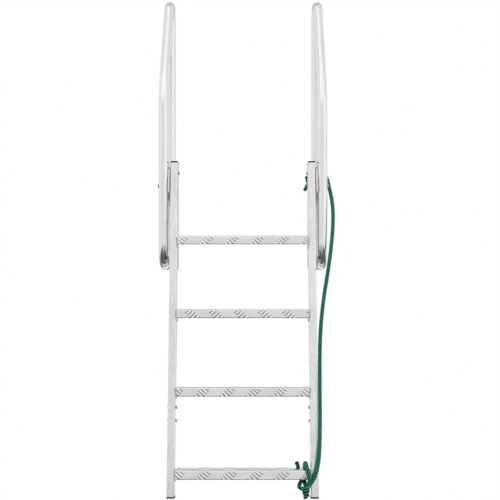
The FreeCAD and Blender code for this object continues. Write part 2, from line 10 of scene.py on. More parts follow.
import bmesh
import bpy
from mathutils import Matrix, Vector
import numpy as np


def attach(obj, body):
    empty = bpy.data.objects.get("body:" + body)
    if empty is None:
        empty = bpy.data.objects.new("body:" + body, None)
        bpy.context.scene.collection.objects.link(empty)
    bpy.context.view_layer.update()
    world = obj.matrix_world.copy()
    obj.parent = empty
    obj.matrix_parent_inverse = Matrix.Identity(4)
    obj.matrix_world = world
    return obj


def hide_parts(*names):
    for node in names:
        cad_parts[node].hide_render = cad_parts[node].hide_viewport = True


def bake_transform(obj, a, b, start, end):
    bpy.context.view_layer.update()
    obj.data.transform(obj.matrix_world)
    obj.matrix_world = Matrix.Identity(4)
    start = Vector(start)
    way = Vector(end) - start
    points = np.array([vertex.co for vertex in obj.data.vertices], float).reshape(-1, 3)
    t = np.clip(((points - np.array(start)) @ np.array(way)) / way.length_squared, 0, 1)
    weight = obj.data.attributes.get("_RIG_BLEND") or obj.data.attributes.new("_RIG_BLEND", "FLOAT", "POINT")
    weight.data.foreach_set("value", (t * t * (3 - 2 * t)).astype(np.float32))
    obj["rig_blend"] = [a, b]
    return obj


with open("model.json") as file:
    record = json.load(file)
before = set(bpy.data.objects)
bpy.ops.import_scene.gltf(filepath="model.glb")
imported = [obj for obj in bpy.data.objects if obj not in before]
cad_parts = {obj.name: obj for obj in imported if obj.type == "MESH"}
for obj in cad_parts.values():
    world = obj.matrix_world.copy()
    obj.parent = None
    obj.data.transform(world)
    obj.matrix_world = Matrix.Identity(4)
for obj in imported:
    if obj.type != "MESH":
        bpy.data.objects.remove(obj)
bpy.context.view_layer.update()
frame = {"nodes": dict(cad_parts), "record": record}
nodes = frame["nodes"]

MIDDLE = 0.261
DECK = 0.170
PIVOT = Vector((MIDDLE, -0.064, 0.221))
LEAN = math.radians(7.7)

RAIL_INSIDE = 0.225
END_HALF_DEPTH = 0.0222
HOOP_OUT = 0.2745
HOOP_RADIUS = 0.0175
FAR_LEG = 0.222
BAR_THICKNESS = 0.008

TREAD_DROPS = (0.226, 0.476, 0.736, 1.005)
TREAD_HALF_LENGTH = 0.2215
TREAD_HALF_DEPTH = 0.043
TREAD_LIP = 0.030
TREAD_BACK_LIP = 0.015
TREAD_BEND = 0.0045


def link(obj):
    """Puts an object into the scene."""
    bpy.context.scene.collection.objects.link(obj)
    return obj


def leaned(point):
    """A point of the upright ladder, from its pivot, where it is when the ladder rests."""
    return PIVOT + Matrix.Rotation(-LEAN, 3, "X") @ Vector(point)


def circle(centre, a, b, radius, sides):
    """Points round a centre, in the plane of the directions a and b."""
    turns = [2 * math.pi * i / sides for i in range(sides)]
    return [centre + (a * math.cos(turn) + b * math.sin(turn)) * radius for turn in turns]


def bridge(bm, low, high):
    """Smooth faces between two rings with as many points."""
    faces = []
    for i in range(len(low)):
        j = (i + 1) % len(low)
        face = bm.faces.new((low[i], low[j], high[j], high[i]))
        face.smooth = True
        faces.append(face)
    return faces


def baked(obj):
    """The mesh that an object's curve or modifiers make, as a mesh of its own."""
    bpy.context.view_layer.update()
    mesh = bpy.data.meshes.new_from_object(obj.evaluated_get(bpy.context.evaluated_depsgraph_get()))
    bpy.data.objects.remove(obj)
    return mesh


def finished_mesh(name, bm):
    """A mesh from a bmesh, with its normals outward."""
    bmesh.ops.recalc_face_normals(bm, faces=bm.faces)
    data = bpy.data.meshes.new(name)
    bm.to_mesh(data)
    bm.free()
    return data


def mesh_piece(name, bm, material):
    """An object from a bmesh, with its material on."""
    data = finished_mesh(name, bm)
    data.materials.append(material)
    obj = link(bpy.data.objects.new(name, data))
    return obj


# Camera


def place_camera():
    """A level camera on the water side, as far off and as high as the photograph's."""
    data = bpy.data.cameras.new("camera")
    data.sensor_width = 36
    data.lens = 64.08
    data.clip_end = 60
    camera = link(bpy.data.objects.new("camera", data))
    camera.location = (0.2854, -3.159, -0.0468)
    camera.rotation_euler = (math.pi / 2, 0, 0)
    bpy.context.scene.camera = camera


# Materials

LEVEL = (0, 0, 0)

# Name, dark tone, light tone, turn and stretch of the lines, roughness, depth of the lines,
# then how bare of oxide it is and whether painted shade darkens the feet of its lugs.
METALS = (
    ("rail_aluminium", (0.76, 0.765, 0.78), (0.95, 0.95, 0.955),
     (LEAN, 0, 0), (240, 240, 2.5), (0.20, 0.30), 0.10),
    ("chequer_plate", (0.74, 0.74, 0.755), (0.87, 0.865, 0.875),
     LEVEL, (8, 300, 300), (0.15, 0.25), 0.10),
    ("hoop_aluminium", (0.79, 0.80, 0.815), (0.87, 0.88, 0.89),
     LEVEL, (260, 260, 8), (0.09, 0.16), 0.04),
    ("bracket_aluminium", (0.82, 0.825, 0.83), (0.92, 0.92, 0.925),
     LEVEL, (500, 12, 12), (0.4, 0.55), 0.15, 0.35),
    ("bolt_steel", (0.66, 0.66, 0.67), (0.80, 0.80, 0.81),
     LEVEL, (300, 900, 900), (0.25, 0.4), 0.1, 0.6),
    # The lugs are the chequer plate's own metal; their lighter tones are a painted highlight on the raised
    # lugs.
    ("lug_metal", (0.88, 0.88, 0.89), (0.97, 0.97, 0.975),
     LEVEL, (60, 60, 60), (0.10, 0.18), 0.08, 1.0, True),
    ("weld_metal", (0.62, 0.63, 0.64), (0.80, 0.81, 0.82),
     LEVEL, (90, 90, 90), (0.3, 0.55), 0.5, 0.5),
)

# Name, colour, roughness, scale and depth of the grain.
PLASTICS = (
    ("cap_plastic", (0.002, 0.002, 0.0024), (0.6, 0.75), 900.0, 0.25),
    ("pad_rubber", (0.012, 0.012, 0.012), (0.7, 0.85), 1300.0, 0.4),
    ("washer_plastic", (0.68, 0.68, 0.66), (0.35, 0.5), 1000.0, 0.1),
)

# The part of its range in which most of a noise lies.
NOISE_LOW = 0.3
NOISE_HIGH = 0.7

LINE_DETAIL = 6.0
CLOUD_SCALE = 9.0
CLOUD_SHARE = 0.45
TONE_RANGE = (0.36, 0.62)
PIT_SCALE = 420.0
PIT_DETAIL = 2.0
PIT_DEPTH = 0.6
GRAIN_DETAIL = 3.0
WEAR_SCALE = 60.0
WEAR_RANGE = (0.4, 0.8)
WEAR_GAIN = 1.8
WEAR_LIFT = 0.004
SURFACE_BUMP = 0.0004
DULL = 0.12

# The colour where no nodes are read, and the range over the yarn.
ROPE_PLAIN = (0.01, 0.14, 0.08)
ROPE_DARK = (0.006, 0.190, 0.120)
ROPE_LIGHT = (0.110, 0.680, 0.460)
YARN_TURN = (0, 0, 0.5)
YARN_SCALE = (7, 7, 1)
YARN_WAVER = 0.6
YARN_DETAIL = 1.5
YARN_RANGE = (0.25, 0.72)
YARN_DEPTH = 0.7
FIBRE_SCALE = 1500.0
FIBRE_DETAIL = 2.0
FIBRE_DEPTH = 0.3
PATCH_SCALE = 70.0
PATCH_SHARE = 0.5
ROPE_BUMP = 0.0006
ROPE_ROUGHNESS = 0.85
ROPE_SHEEN = 0.02
SHEEN_ROUGHNESS = 0.5

# Attribute of lugs and ropes: how far up or out a spot lies, from 0 to 1, which sets how much painted shade
# it gets.
CROWN = "crown"

# Painted shade by crown: the crown where a spot is darkest, the one from which it is plain, and how dark it
# gets.
# On the rope it stands in for shade down between the strands, on the lugs for shade at their feet.
ROPE_SHADE = (0.80, 1.0, 0.02)
LUG_SHADE = (0.0, 0.8, 0.18)


def new_material(name, colour, metallic, roughness):
    """A material with one Principled shader: the material, its node tree and the shader."""
    material = bpy.data.materials.new(name)
    material.use_nodes = True
    tree = material.node_tree
    shader = tree.nodes["Principled BSDF"]
    shader.inputs["Base Color"].default_value = (*colour, 1)
    shader.inputs["Metallic"].default_value = metallic
    shader.inputs["Roughness"].default_value = roughness
    return material, tree, shader


def add_node(tree, kind, links=None, **values):
    """Adds a node, joins its inputs to the sockets in links, and sets its properties."""
    node = tree.nodes.new(kind)
    for name, value in values.items():
        setattr(node, name, value)
    for name, source in (links or {}).items():
        if isinstance(source, bpy.types.NodeSocket):
            tree.links.new(source, node.inputs[name])
        else:
            node.inputs[name].default_value = source
    return node


def node_math(tree, operation, a, b=0.0):
    """One sum on two values, or on one where b is left out."""
    return add_node(tree, "ShaderNodeMath", {0: a, 1: b}, operation=operation).outputs[0]


def between(tree, value, low, high, **values):
    """How far a value is from low to high, as 0 to 1."""
    links = {"Value": value, "From Min": low, "From Max": high}
    return add_node(tree, "ShaderNodeMapRange", links, **values).outputs["Result"]


def object_grain(tree, scale, detail=4.0, turn=LEVEL, stretch=(1, 1, 1)):
    """Noise on Object coordinates, turned and stretched, such as lines drawn along a bar."""
    place = add_node(tree, "ShaderNodeTexCoord")
    links = {"Vector": place.outputs["Object"], "Rotation": turn, "Scale": stretch}
    mapping = add_node(tree, "ShaderNodeMapping", links)
    links = {"Vector": mapping.outputs["Vector"], "Scale": scale, "Detail": detail}
    return add_node(tree, "ShaderNodeTexNoise", links).outputs["Fac"]


def mean(tree, a, b, share):
    """Two values mixed, with this share of the second."""
    return add_node(tree, "ShaderNodeMix", {"Factor": share, "A": a, "B": b}).outputs["Result"]


def ramp(tree, source, low, high, dark, light):
    """A colour from dark to light for a grey value from low to high."""
    node = add_node(tree, "ShaderNodeValToRGB", {"Fac": source})
    first, last = node.color_ramp.elements
    first.position, first.color = low, (*dark, 1)
    last.position, last.color = high, (*light, 1)
    return node.outputs["Color"]


def roughen(tree, shader, noise, low, high):
    """Spreads a noise over this range of roughness."""
    links = {"Value": noise, "From Min": NOISE_LOW, "From Max": NOISE_HIGH}
    links.update({"To Min": low, "To Max": high})
    rough = add_node(tree, "ShaderNodeMapRange", links)
    tree.links.new(rough.outputs["Result"], shader.inputs["Roughness"])


def add_bump(tree, shader, heights, distance):
    """Feeds one height after another into bump nodes in a chain."""
    normal = None
    for source, strength in heights:
        links = {"Height": source, "Strength": strength, "Distance": distance}
        if normal is not None:
            links["Normal"] = normal
        normal = add_node(tree, "ShaderNodeBump", links).outputs["Normal"]
    tree.links.new(normal, shader.inputs["Normal"])


def shade_by_crown(tree, shader, colour, low, high, floor):
    """Paints shade into a colour: darkens it to floor where the crown is at low, and not at all from high
    on.
    """
    level = add_node(tree, "ShaderNodeAttribute", attribute_name=CROWN)
    shade = ramp(tree, level.outputs["Fac"], low, high, (floor, floor, floor), (1, 1, 1))
    shaded = add_node(tree, "ShaderNodeMix", data_type="RGBA", blend_type="MULTIPLY")
    shaded.inputs[0].default_value = 1.0
    tree.links.new(colour, shaded.inputs[6])
    tree.links.new(shade, shaded.inputs[7])
    tree.links.new(shaded.outputs[2], shader.inputs["Base Color"])


def metal(name, dark, light, turn, stretch, rough, line_depth, bare=1.0, painted_foot_shade=False):
    """Aluminium or steel with fine lines one way, clouding and pits; bare is 1 without oxide. The last flag
    paints shade onto the low parts of lugs by their crown.
    """
    material, tree, shader = new_material(name, light, bare, rough[0])
    lines = object_grain(tree, 1.0, LINE_DETAIL, turn, stretch)
    clouds = object_grain(tree, CLOUD_SCALE)
    pits = object_grain(tree, PIT_SCALE, PIT_DETAIL)
    tone = ramp(tree, mean(tree, lines, clouds, CLOUD_SHARE), *TONE_RANGE, dark, light)
    # Painted shade at the feet of the lugs, where the crown is low.
    if painted_foot_shade:
        shade_by_crown(tree, shader, tone, *LUG_SHADE)
    else:
        tree.links.new(tone, shader.inputs["Base Color"])
    roughen(tree, shader, clouds, *rough)
    add_bump(tree, shader, [(lines, line_depth), (pits, line_depth * PIT_DEPTH)], SURFACE_BUMP)
    return material


def moulded(name, colour, rough, grain_scale, grain_depth):
    """Plastic or rubber with a moulded grain and a slightly uneven sheen."""
    material, tree, shader = new_material(name, colour, 0.0, rough[0])
    grain = object_grain(tree, grain_scale, GRAIN_DETAIL)
    wear = object_grain(tree, WEAR_SCALE)
    lighter = tuple(min(1, c * WEAR_GAIN + WEAR_LIFT) for c in colour)
    tone = ramp(tree, wear, *WEAR_RANGE, colour, lighter)
    tree.links.new(tone, shader.inputs["Base Color"])
    roughen(tree, shader, wear, *rough)
    shader.inputs["Specular IOR Level"].default_value = DULL
    add_bump(tree, shader, [(grain, grain_depth)], SURFACE_BUMP)
    return material


def rope_material():
    """Green yarn with painted shade down between the strands, its twist a wave over each strand's UV map."""
    material, tree, shader = new_material("rope_yarn", ROPE_PLAIN, 0.0, ROPE_ROUGHNESS)
    place = add_node(tree, "ShaderNodeTexCoord")
    links = {"Vector": place.outputs["UV"], "Rotation": YARN_TURN, "Scale": YARN_SCALE}
    along = add_node(tree, "ShaderNodeMapping", links).outputs["Vector"]
    links = {"Vector": along, "Scale": 1.0, "Distortion": YARN_WAVER, "Detail": YARN_DETAIL}
    yarn = add_node(tree, "ShaderNodeTexWave", links).outputs["Fac"]
    fibres = object_grain(tree, FIBRE_SCALE, FIBRE_DETAIL)
    patches = object_grain(tree, PATCH_SCALE)
    both = mean(tree, yarn, patches, PATCH_SHARE)
    shade_by_crown(tree, shader, ramp(tree, both, *YARN_RANGE, ROPE_DARK, ROPE_LIGHT), *ROPE_SHADE)
    shader.inputs["Specular IOR Level"].default_value = DULL
    shader.inputs["Sheen Weight"].default_value = ROPE_SHEEN
    shader.inputs["Sheen Roughness"].default_value = SHEEN_ROUGHNESS
    add_bump(tree, shader, [(yarn, YARN_DEPTH), (fibres, FIBRE_DEPTH)], ROPE_BUMP)
    return material


def make_materials():
    """Every material by the name of its slot, and two for lugs and welds."""
    made = {row[0]: metal(*row) for row in METALS}
    made.update({row[0]: moulded(*row) for row in PLASTICS})
    made["rope_green"] = rope_material()
    return made


def dress_nodes(materials):
    """Gives each solid the material of its slot in the record."""
    for part in frame["record"]["subparts"]:
        data = nodes[part["node"]].data
        data.materials.clear()
        data.materials.append(materials[part["material_slot"]])


# Rope

ROPE_RADIUS = 0.007
STRANDS = 4
STRAND_RADIUS = 0.40 * ROPE_RADIUS
STRAND_OUT = 0.61 * ROPE_RADIUS
STRAND_END = 0.8 * STRAND_RADIUS
STRAND_SIDES = 10
TIP_STEP = 0.6
LAY_STEP = 0.0018
LAY_LENGTH = 0.0439
TIGHT_LAY = 0.0345
LAY_EASES = (0.40, 0.62)

# How far the UV map runs along a strand in one step, with 1 for the way round it.
STRAND_UV = LAY_STEP / (2 * math.pi * STRAND_RADIUS)

# Shares of the rope's radius over which the crown rises and the painted shade between the strands lifts:
# where it starts, and over how much it ends.
CROWN_START = 0.35
CROWN_SPAN = 0.66

# A melted end: its thickness from the rope to the tip, as shares of the rope's radius.
SEAL_SHARES = (0.80, 0.98, 1.02, 1.0, 0.95, 0.78)
SEAL_STEP = 0.0012
SEAL_SIDES = 14
# The melted end's crown lies below where the painted shade lifts, so all of it takes the rope's darkest
# tone.
SEAL_CROWN = 0.6
SEAL_UV = 0.05

# The turns round the hoop's far leg: how far out they lie, how high above the deck they
# start, the lead before them, the fall of a turn, and the tail's steps out and down.
HITCH_RING = HOOP_RADIUS + ROPE_RADIUS + 0.0004
HITCH_HEIGHT = 0.056
HITCH_LEAD = 0.024
HITCH_FALL = 0.0144
HITCH_CORNERS = 8
HITCH_POINTS = 12
HITCH_TAIL = ((0.009, 0.008), (0.019, 0.028))

# Millimetres from the ladder's middle, the dock's face and the deck.
RUN_ROUTE = (
    (298.4, 198, 56), (298.4, 152, 56), (300, 104, 52), (300, 56, 44), (300, 8, 34),
    (300, -32, 15), (305.5, -58, -19), (312, -74, -66), (311.5, -88, -127), (304.5, -99, -200),
    (292.5, -112, -285), (274, -130, -385), (260.5, -152, -505), (257.5, -184, -655),
    (256, -218, -800), (252, -239, -890), (244, -248, -938), (231, -253, -970), (214, -252, -992),
)

# Millimetres from the ladder's middle, its pivot and the top of the lowest tread.
TURN_ROUTE = (
    (209, -42, -60), (216.5, -50, -46), (218.5, -56, -30), (216.5, -58, -14), (213, -56, 1),
    (210.5, -43, 13), (209.5, -18, 18.5), (209, 18, 18), (209, 46, 10), (208.5, 57, -8),
    (207.5, 50, -30), (206.5, 24, -43), (206.5, -4, -47), (208, -26, -51), (209, -40, -58),
)
LOOSE_END_ROUTE = (
    (206.5, -44, -58), (196, -48, -58), (188.5, -45, -56), (185, -36, -53), (188.5, -23, -46),
    (195, -8, -38), (196, 12, -33), (194.5, 34, -32), (192, 54, -24), (189, 58, -6),
    (186, 57, 6), (182, 55, 17),
)
DROP_ROUTE = ((208, -43, -60), (205, -44.5, -75), (205.5, -43.5, -90))
KNOT_ROUTE = (
    (214, -38, -52), (213, -50, -53), (206, -55, -58), (200, -49, -63), (200, -38, -65),
    (207, -32, -64), (214, -36, -64), (214, -47, -65), (207, -53, -70), (201, -47, -73),
    (203, -38, -72), (209, -35, -76), (213.5, -41, -79), (210, -49, -81), (204, -48, -83),
)

# Metres from the inner side of the hitch on the far leg, and from the deck.
TOP_KNOT = (
    (0.002, 0.014, 0.050), (-0.006, 0.012, 0.058), (-0.011, 0, 0.060), (-0.009, -0.010, 0.054),
    (-0.005, -0.011, 0.046), (-0.009, -0.001, 0.044), (-0.005, 0.010, 0.044),
)


def nurbs_line(points):
    """Points read from a smooth curve with these points as its controls."""
    curve = bpy.data.curves.new("route", "CURVE")
    curve.dimensions = "3D"
    curve.resolution_u = 12
    spline = curve.splines.new("NURBS")
    spline.points.add(len(points) - 1)
    for control, point in zip(spline.points, points):
        control.co = (*point, 1)
    spline.order_u = 3
    spline.use_endpoint_u = True
    mesh = baked(link(bpy.data.objects.new("route", curve)))
    line = [v.co.copy() for v in mesh.vertices]
    bpy.data.curves.remove(curve)
    bpy.data.meshes.remove(mesh)
    return line


def even_steps(line, step):
    """The same line in equal steps."""
    lengths = [0.0]
    for a, b in zip(line, line[1:]):
        lengths.append(lengths[-1] + (b - a).length)
    count = max(2, round(lengths[-1] / step))
    steps, at = [], 0
    for i in range(count + 1):
        want = lengths[-1] * i / count
        while at < len(line) - 2 and lengths[at + 1] < want:
            at += 1
        share = (want - lengths[at]) / (lengths[at + 1] - lengths[at])
        steps.append(line[at].lerp(line[at + 1], min(1, share)))
    return steps


def carried_frames(line):
    """A pair of sideways directions at each point, turned no more than the line turns."""
    frames = []
    side = None
    for i in range(len(line)):
        way = (line[min(i + 1, len(line) - 1)] - line[max(i - 1, 0)]).normalized()
        if side is None:
            side = Vector((0, 0, 1)) if abs(way.z) < 0.9 else Vector((1, 0, 0))
        side = (side - way * side.dot(way)).normalized()
        frames.append((side.copy(), way.cross(side)))
    return frames


def add_tube(bm, line, radii, sides, uv_layer, uv_length):
    """A tube round a line, pointed at both ends, with a UV map that runs round it and along it."""
    rings = []
    for (a, b), centre, radius in zip(carried_frames(line), line, radii):
        rings.append([bm.verts.new(co) for co in circle(centre, a, b, radius, sides)])
    for k, (low, high) in enumerate(zip(rings, rings[1:])):
        for i, face in enumerate(bridge(bm, low, high)):
            corners = ((i, k), (i + 1, k), (i + 1, k + 1), (i, k + 1))
            for loop, (u, v) in zip(face.loops, corners):
                loop[uv_layer].uv = (u / sides, v * uv_length)
    ends = ((rings[0][::-1], line[0], line[1]), (rings[-1], line[-1], line[-2]))
    for ring, end, before in ends:
        tip = bm.verts.new(end + (end - before) * TIP_STEP)
        for i in range(sides):
            bm.faces.new((ring[i], ring[(i + 1) % sides], tip)).smooth = True


def add_rod(bm, line, radii, sides, closed=False):
    """A rod along a line, flat at its ends, or a ring where the line ends as it starts."""
    spots = list(zip(line, carried_frames(line), radii))
    if closed:
        spots.pop()
    rings = []
    for centre, (a, b), radius in spots:
        rings.append([bm.verts.new(co) for co in circle(centre, a, b, radius, sides)])
    for low, high in zip(rings, rings[1:]):
        bridge(bm, low, high)
    if closed:
        bridge(bm, rings[-1], rings[0])
    else:
        bm.faces.new(rings[0])
        bm.faces.new(rings[-1])


def seal_end(bm, line, uv_layer, crown_layer):
    """A melted end that holds the strands together at the end of a line."""
    tip = even_steps(line, SEAL_STEP)[-len(SEAL_SHARES) :]
    first = len(bm.verts)
    add_tube(bm, tip, [ROPE_RADIUS * share for share in SEAL_SHARES], SEAL_SIDES, uv_layer, SEAL_UV)
    bm.verts.ensure_lookup_table()
    for vert in bm.verts[first:]:
        vert[crown_layer] = SEAL_CROWN


def lay_turns(count, tight):
    """How far the lay has turned at each step; tight is where it starts and stops easing."""
    turns = [0.0]
    for i in range(count - 1):
        share = 1
        if tight:
            share = min(1, max(0, (i * LAY_STEP - tight[0]) / (tight[1] - tight[0])))
        lay = TIGHT_LAY + (LAY_LENGTH - TIGHT_LAY) * share
        turns.append(turns[-1] + 2 * math.pi * LAY_STEP / lay)
    return turns


def lay_rope(name, lines, material, sealed=(), tight=None):
    """Strands laid right-handed round each line, marked with how far out each spot is, which sets their
    painted shade.
    """
    bm = bmesh.new()
    uv_layer = bm.loops.layers.uv.new("UVMap")
    crown_layer = bm.verts.layers.float.new(CROWN)
    for line in lines:
        line = even_steps(line, LAY_STEP)
        frames = carried_frames(line)
        turns = lay_turns(len(line), tight)
        for strand in range(STRANDS):
            centres = []
            for point, (a, b), turned in zip(line, frames, turns):
                turn = turned + 2 * math.pi * strand / STRANDS
                centres.append(point + (a * math.cos(turn) + b * math.sin(turn)) * STRAND_OUT)
            radii = [STRAND_RADIUS] * len(centres)
            radii[0] = radii[-1] = STRAND_END
            first = len(bm.verts)
            add_tube(bm, centres, radii, STRAND_SIDES, uv_layer, STRAND_UV)
            bm.verts.ensure_lookup_table()
            for k, vert in enumerate(bm.verts[first : first + STRAND_SIDES * len(line)]):
                out = (vert.co - line[k // STRAND_SIDES]).length / ROPE_RADIUS
                vert[crown_layer] = min(1, max(0, (out - CROWN_START) / CROWN_SPAN))
    for line in sealed:
        seal_end(bm, line, uv_layer, crown_layer)
    return mesh_piece(name, bm, material)


def deck_point(point):
    """A point of the free run, in metres in the frame."""
    x, y, z = point
    return Vector((MIDDLE + x / 1000, y / 1000, DECK + z / 1000))


def tread_point(point):
    """A point of the hitch, from the top of the lowest tread, where the ladder rests."""
    x, y, z = point
    return leaned((x / 1000, y / 1000, z / 1000 - TREAD_DROPS[-1]))


def top_hitch_route():
    """Turns round the hoop's far leg above the deck, with the tail below them."""
    step = 2 * math.pi / HITCH_CORNERS
    reach = HITCH_RING / math.cos(step / 2)
    route = [Vector((HOOP_OUT + HITCH_RING, FAR_LEG - HITCH_LEAD, HITCH_HEIGHT))]
    for i in range(HITCH_POINTS):
        turn = (i + 0.5) * step
        x, y = HOOP_OUT + reach * math.cos(turn), FAR_LEG + reach * math.sin(turn)
        route.append(Vector((x, y, HITCH_HEIGHT - HITCH_FALL * i / HITCH_CORNERS)))
    last = route[-1].z
    for out, down in HITCH_TAIL:
        x, y = HOOP_OUT - HITCH_RING - out, FAR_LEG - HITCH_LEAD / 2 - out / 2
        route.append(Vector((x, y, last - down)))
    return [point + Vector((MIDDLE, 0, DECK)) for point in route]


def top_knot_route():
    """The tucked turn on the inner side of the top hitch."""
    x, y = MIDDLE + HOOP_OUT - HITCH_RING, FAR_LEG
    return [Vector((x + across, y + back, DECK + up)) for across, back, up in TOP_KNOT]


def make_ropes(material):
    """The free run, blended between both bodies, and the hitch at each of its ends."""
    run_line = nurbs_line([deck_point(p) for p in RUN_ROUTE])
    run = lay_rope("lifting_rope", [run_line], material, tight=LAY_EASES)
    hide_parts("rope_run")

    turns = nurbs_line(top_hitch_route())
    top = lay_rope("rope_hitch_on_hoop", [turns, nurbs_line(top_knot_route())], material, [turns])
    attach(top, "dock_mount")
    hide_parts("rope_top_hitch")

    routes = (TURN_ROUTE, KNOT_ROUTE, LOOSE_END_ROUTE, DROP_ROUTE)
    lines = [nurbs_line([tread_point(p) for p in route]) for route in routes]
    low = lay_rope("rope_hitch_on_tread", lines, material, lines[2:])
    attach(low, "ladder")
    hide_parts("rope_tread_hitch")

    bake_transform(run, "dock_mount", "ladder", deck_point((303, -8, 36)), deck_point((315, -88, -125)))
    [tuple(p) for p in even_steps(run_line, 0.004)]


# Chequer lugs

LUG_LENGTH = 0.032
LUG_WIDTH = 0.0080
LUG_HEIGHT = 0.0023
LUG_STATIONS = 10
LUG_ACROSS = (-1, -0.75, -0.4, 0, 0.4, 0.75, 1)
LUG_SUNK = 0.0004

# Crown for each metre of height, which makes it full a good third below the top.
LUG_CROWN = 1.6 / LUG_HEIGHT

LUG_SPACING = 0.0105
LUGS_IN_GROUP = 5
GROUP_COLUMNS = 7
GROUP_ROWS = 3
FIRST_ROW = 0.0127

# For each tread from the top: the pitch of its groups, how far its pattern is shifted along
# it, and whether it is turned round.
PATTERNS = (
    (0.086, -0.0397, False),
    (0.082, 0.0057, True),
    (0.086, -0.0508, False),
    (0.086, -0.0444, False),
)

# How much lower the lugs are on a tread's top than on its lip, as trodden down.
TOP_WEAR = 0.78

# The flat sheet of a tread, which ends at its lips, and the sides where the lugs stop.
SHEET_LIPS = TREAD_LIP + TREAD_BACK_LIP - 2 * TREAD_BEND
SHEET = SHEET_LIPS + math.pi * TREAD_BEND + 2 * (TREAD_HALF_DEPTH - TREAD_BEND)
SHEET_MARGIN = 0.0004
SHEET_END = TREAD_HALF_LENGTH - 0.0008
SHEET_SIDES = (
    ((SHEET_END, 0, 0), (1, 0, 0)),
    ((-SHEET_END, 0, 0), (-1, 0, 0)),
    ((0, SHEET_MARGIN, 0), (0, -1, 0)),
    ((0, SHEET - SHEET_MARGIN, 0), (0, 1, 0)),
)

# The rolled-over edge that a shear leaves along the front lip, darkened with painted shade through its
# crown.
EDGE_RADIUS = 0.0013
EDGE_INSET = 0.0009
EDGE_STEP = 0.02
EDGE_SIDES = 10
EDGE_SHADE_CROWN = 0.35


def lug_mesh():
    """One raised lug: a low dome with pointed ends, its base a little below the plate."""
    last = len(LUG_ACROSS) - 1
    bm = bmesh.new()
    rows = []
    for i in range(1, LUG_STATIONS):
        t = -1 + 2 * i / LUG_STATIONS
        width = LUG_WIDTH / 2 * (1 - t**4) ** 0.5
        rise = LUG_HEIGHT * (1 - t**6) + LUG_SUNK
        spots = [(t * LUG_LENGTH / 2, s * width, rise * (1 - s * s) - LUG_SUNK) for s in LUG_ACROSS]
        rows.append([bm.verts.new(spot) for spot in spots])
    ends = [bm.verts.new((s * LUG_LENGTH / 2, 0, -LUG_SUNK)) for s in (-1, 1)]
    for low, high in zip(rows, rows[1:]):
        for i in range(last):
            bm.faces.new((low[i], high[i], high[i + 1], low[i + 1]))
        bm.faces.new((low[0], low[last], high[last], high[0]))
    for row, end in ((rows[0], ends[0]), (rows[-1], ends[1])):
        for i in range(last):
            bm.faces.new((row[i], row[i + 1], end))
        bm.faces.new((row[last], row[0], end))
    return finished_mesh("lug", bm)


def new_tree(name, wanted):
    """A node group with a geometry in and out and these named inputs, and its input sockets."""
    tree = bpy.data.node_groups.new(name, "GeometryNodeTree")
    tree.interface.new_socket("Geometry", in_out="INPUT", socket_type="NodeSocketGeometry")
    for label, kind, value in wanted:
        socket = tree.interface.new_socket(label, in_out="INPUT", socket_type=kind)
        socket.default_value = value
    tree.interface.new_socket("Geometry", in_out="OUTPUT", socket_type="NodeSocketGeometry")
    return tree, tree.nodes.new("NodeGroupInput").outputs


def copies(tree, points, shape):
    """A copy of a shape on each point."""
    links = {"Points": points, "Instance": shape}
    return add_node(tree, "GeometryNodeInstanceOnPoints", links).outputs[0]


def finish_tree(tree, geometry, material):
    """Makes the copies real, paints them and puts them out."""
    real = add_node(tree, "GeometryNodeRealizeInstances", {"Geometry": geometry})
    links = {"Geometry": real.outputs[0], "Material": material}
    painted = add_node(tree, "GeometryNodeSetMaterial", links)
    tree.links.new(painted.outputs[0], tree.nodes.new("NodeGroupOutput").inputs[0])


def arrayed(mesh, tree, values):
    """The mesh that a node group makes of a small one, with these values for its inputs."""
    obj = link(bpy.data.objects.new(tree.name, mesh))
    modifier = obj.modifiers.new("array", "NODES")
    modifier.node_group = tree
    for item in tree.interface.items_tree:
        if item.item_type == "SOCKET" and item.in_out == "INPUT" and item.name in values:
            modifier[item.identifier] = values[item.name]
    return baked(obj)


def lug_family(tree, inputs, lean_way, row_shift):
    """Groups of parallel lugs on a grid; lean_way is 1 or -1 for the two slants."""
    links = {"Geometry": inputs["Geometry"], "Rotation": (0, 0, -lean_way * math.pi / 4)}
    lug = add_node(tree, "GeometryNodeTransform", links).outputs[0]
    step_x = node_math(tree, "MULTIPLY", inputs["Lug Spacing"], math.sqrt(0.5))
    step_y = node_math(tree, "MULTIPLY", step_x, float(lean_way))
    offset = add_node(tree, "ShaderNodeCombineXYZ", {"X": step_x, "Y": step_y}).outputs[0]
    half = node_math(tree, "MULTIPLY", node_math(tree, "SUBTRACT", inputs["Lugs"], 1.0), -0.5)
    start = add_node(tree, "ShaderNodeVectorMath", {0: offset, "Scale": half}, operation="SCALE")
    links = {"Count": inputs["Lugs"], "Start Location": start.outputs[0], "Offset": offset}
    group = copies(tree, add_node(tree, "GeometryNodeMeshLine", links).outputs[0], lug)
    pitch = inputs["Group Pitch"]
    wide = node_math(tree, "MULTIPLY", pitch, node_math(tree, "SUBTRACT", inputs["Columns"], 1.0))
    high = node_math(tree, "MULTIPLY", pitch, node_math(tree, "SUBTRACT", inputs["Rows"], 1.0))
    columns, rows = inputs["Columns"], inputs["Rows"]
    links = {"Size X": wide, "Size Y": high, "Vertices X": columns, "Vertices Y": rows}
    groups = copies(tree, add_node(tree, "GeometryNodeMeshGrid", links).outputs["Mesh"], group)
    shift = node_math(tree, "MULTIPLY", pitch, row_shift)
    move = add_node(tree, "ShaderNodeCombineXYZ", {"X": shift, "Y": shift}).outputs[0]
    links = {"Geometry": groups, "Translation": move}
    return add_node(tree, "GeometryNodeTransform", links).outputs[0]


